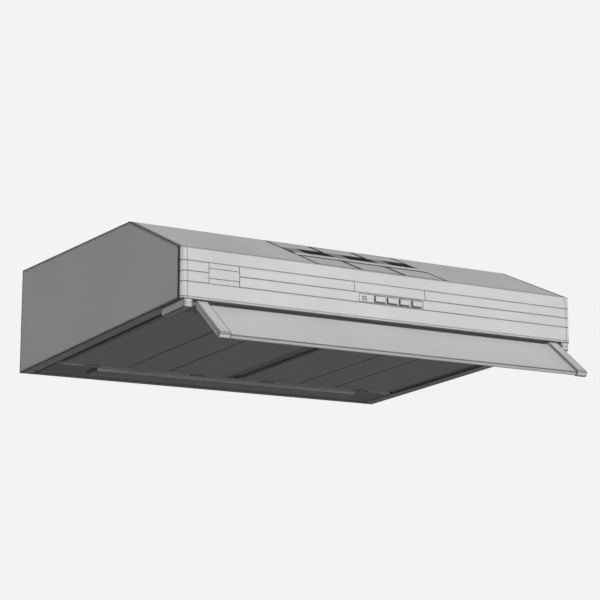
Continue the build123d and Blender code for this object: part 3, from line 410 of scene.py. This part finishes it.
def key_plastic(name):
    """Key cap: pale face with a fine line round it, and sides painted dark as shade."""
    finish = Finish(name)
    body = finish.ink(mottled(finish, grey(PLASTIC_LEVEL)), finish.edges(GROOVE), 0.7)
    # Painted shade on the key's sides, behind its face.
    back = finish.spread(finish.axes()["Y"], KEY_SHADE_START, KEY_SHADE_START + KEY_FADE)
    finish.colour(finish.ink(body, back, 0.95))
    finish.rough(finish.spread(finish.noise(140.0), 0.3, 0.7, 0.3, 0.4))
    finish.bump(finish.noise(1100.0, 2.0), 0.00005)
    return finish.material


def lens_plastic(name):
    """Frosted lens of the running light, with fine optic ribs."""
    finish = Finish(name)
    ribs = finish.add("TexWave", {"Vector": finish.place, "Scale": 500.0}).outputs["Fac"]
    body = finish.blend(ribs, grey(0.3), grey(0.42))
    finish.colour(finish.ink(body, finish.edges(GROOVE), 0.9))
    finish.rough(finish.spread(ribs, 0.0, 1.0, 0.12, 0.25))
    finish.bump(ribs, 0.00005)
    return finish.material


def cover_plastic(name):
    """Milky lamp cover with a prism pattern that scatters the light, painted highlights on its front and
    edges, and painted shade just behind the front.
    """
    finish = Finish(name)
    dots = finish.add("TexVoronoi", {"Vector": finish.place, "Scale": 330.0}).outputs["Distance"]
    cloud = finish.noise(40.0, 3.0)
    body = finish.blend(cloud, grey(0.3, 0.01), grey(0.36, 0.01))
    # Painted highlight on the cover's front and edges, painted shade in a band behind the front.
    front = finish.band(finish.axes()["Y"], *COVER_HIGHLIGHT)
    body = finish.ink(body, finish.band(finish.axes()["Y"], *COVER_SHADE), 0.8)
    lit = finish.sum_of(finish.edges(GROOVE), front, "MAXIMUM")
    finish.colour(finish.blend(lit, body, grey(HIGHLIGHT_LEVEL)))
    finish.rough(finish.spread(dots, 0.0, 0.8, 0.2, 0.4))
    finish.bump(dots, 0.0002, 0.5)
    finish.shader.inputs["Transmission Weight"].default_value = 0.15
    return finish.material


def lamp_glass(name):
    """Thin clear bulb glass with faint waves."""
    finish = Finish(name)
    waves = finish.noise(45.0, 2.0)
    finish.colour(finish.blend(waves, grey(0.82), grey(0.93)))
    finish.rough(finish.spread(waves, 0.3, 0.7, 0.02, 0.08))
    finish.bump(waves, 0.0002, 0.4)
    finish.shader.inputs["Transmission Weight"].default_value = 0.85
    return finish.material


def brass(name):
    """Plated lamp cap with patches of tarnish."""
    finish = Finish(name, metallic=1.0)
    tarnish = finish.spread(finish.noise(160.0, 5.0), 0.4, 0.65)
    finish.colour(finish.blend(tarnish, (0.56, 0.43, 0.2, 1), (0.34, 0.25, 0.12, 1)))
    finish.rough(finish.spread(tarnish, 0.0, 1.0, 0.25, 0.5))
    finish.bump(tarnish, 0.00005)
    return finish.material


def wire_sleeve(name):
    """Rubbery sleeve of the wiring, ribbed round its length."""
    finish = Finish(name)
    ribs = finish.add("TexWave", {"Vector": finish.place, "Scale": 130.0, "Distortion": 2.0}).outputs["Fac"]
    finish.colour(finish.blend(ribs, grey(0.02), grey(0.045)))
    finish.rough(finish.spread(ribs, 0.0, 1.0, 0.5, 0.7))
    finish.bump(ribs, 0.0002)
    return finish.material


PAINT_LEVEL = 0.50          # brightness of the enamel
PLASTIC_LEVEL = 0.5         # and of the grey mouldings
VISOR_LEVEL = 0.48
VISOR_GRAIN = 0.00004
VISOR_GLOSS = (0.35, 0.48)  # lowest and highest roughness
FINISHES = {
    "painted_steel": lambda name: sheet_paint(name, PAINT_LEVEL),
    "side_steel": lambda name: sheet_paint(name, PAINT_LEVEL),
    "fascia_steel": lambda name: fascia_paint(name, 0.49),
    "zinc_steel": lambda name: zinc_sheet(name, 0.31),
    "screw_steel": screw_steel,
    "filter_aluminium": filter_aluminium,
    "mesh_aluminium": filter_mesh_metal,
    "grey_plastic": lambda name: moulded(name, PLASTIC_LEVEL),
    "dark_plastic": lambda name: moulded(name, 0.045, roughness=(0.5, 0.62), edge_depth=0.3),
    "button_plastic": key_plastic,
    "visor_plastic": lambda name: moulded(name, VISOR_LEVEL, VISOR_GRAIN, VISOR_GLOSS, reach=0.0017),
    "lens_plastic": lens_plastic,
    "cover_plastic": cover_plastic,
    "lamp_glass": lamp_glass,
    "brass_cap": brass,
    "fan_plastic": lambda name: moulded(name, 0.3, warmth=0.01, edge_depth=0.5),
    "motor_steel": lambda name: zinc_sheet(name, 0.24),
    "wire_rubber": wire_sleeve,
}


def paint_nodes():
    """Give every CAD node the material of its slot."""
    made = {name: build(name) for name, build in FINISHES.items()}
    vent = vent_paint("painted_steel_louvre", PAINT_LEVEL)
    block = moulded("grey_plastic_block", PLASTIC_LEVEL, edge_depth=0.98, reach=0.003)
    arm = moulded("visor_plastic_arm", VISOR_LEVEL, VISOR_GRAIN, VISOR_GLOSS, reach=0.0028)
    for part in frame["record"]["subparts"]:
        name = part["node"]
        chosen = made[part["material_slot"]]
        if name.startswith("vent_grille"):
            chosen = vent
        if name.startswith("hinge_block_") and "screws" not in name:
            chosen = block
        if name.startswith("visor_arm"):
            chosen = arm
        node = frame["nodes"][name]
        node.data.materials.clear()
        node.data.materials.append(chosen)
    return made


# ---- Fine details ----
UNDER_FOOT = (0, -0.3165, -0.1234)      # the underside plane starts here and runs back and down
UNDER_TILT = math.radians(2.942)
BAFFLE = ((-0.014, 0.014), (0.061, 0.406), (0.014, 0.015))     # across, back and up from that foot
SPIGOT_SCREW_CIRCLE = 0.066             # radius that the collar's screws stand on
SPIGOT_SCREWS = 4
CROSS_TURNS = (20, 110)     # degrees that the two arms of a cross are turned
HEAD_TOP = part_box("spigot_screws")[1].z                 # height of the collar screws' heads
RECESS = (0.0038, 0.0008, 0.0002)       # length, width and thickness of one arm of a screw's cross


def blocks(name, body, material, sizes_and_places):
    """One mesh of boxes, each a size and a placing matrix, riding on a CAD body."""
    mesh = bpy.data.meshes.new(name)
    made = bmesh.new()
    for size, place in sizes_and_places:
        bmesh.ops.create_cube(made, size=1.0, matrix=place @ Matrix.Diagonal((*size, 1)))
    made.to_mesh(mesh)
    made.free()
    mesh.materials.append(material)
    piece = bpy.data.objects.new(name, mesh)
    bpy.context.scene.collection.objects.link(piece)
    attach(piece, body)
    return piece


def add_baffle():
    """Strip on the divider's walls that closes the slots between it and the filters."""
    size = [high - low for low, high in BAFFLE]
    middle = Vector([(high + low) / 2 for low, high in BAFFLE])
    under = Matrix.Translation(UNDER_FOOT) @ Matrix.Rotation(-UNDER_TILT, 4, "X")
    place = under @ Matrix.Translation(middle)
    baffle = blocks("divider_baffle", "casing", materials["zinc_steel"], [(size, place)])


def add_screw_crosses():
    """Thin dark crosses on the head of each collar screw, painted shade standing for its cross recess."""
    arms = []
    for number in range(SPIGOT_SCREWS):
        corner = Matrix.Rotation(math.radians(45 + 90 * number), 4, "Z")
        seat = corner @ Matrix.Translation((SPIGOT_SCREW_CIRCLE, 0, HEAD_TOP))
        for turn in CROSS_TURNS:
            arms.append((RECESS, seat @ Matrix.Rotation(math.radians(turn), 4, "Z")))
    # The crosses take the dark plastic finish as painted shade of the recesses.
    crosses = blocks("collar_screw_crosses", "casing", materials["dark_plastic"], arms)


add_camera()
add_studio()
materials = paint_nodes()
add_baffle()
add_screw_crosses()
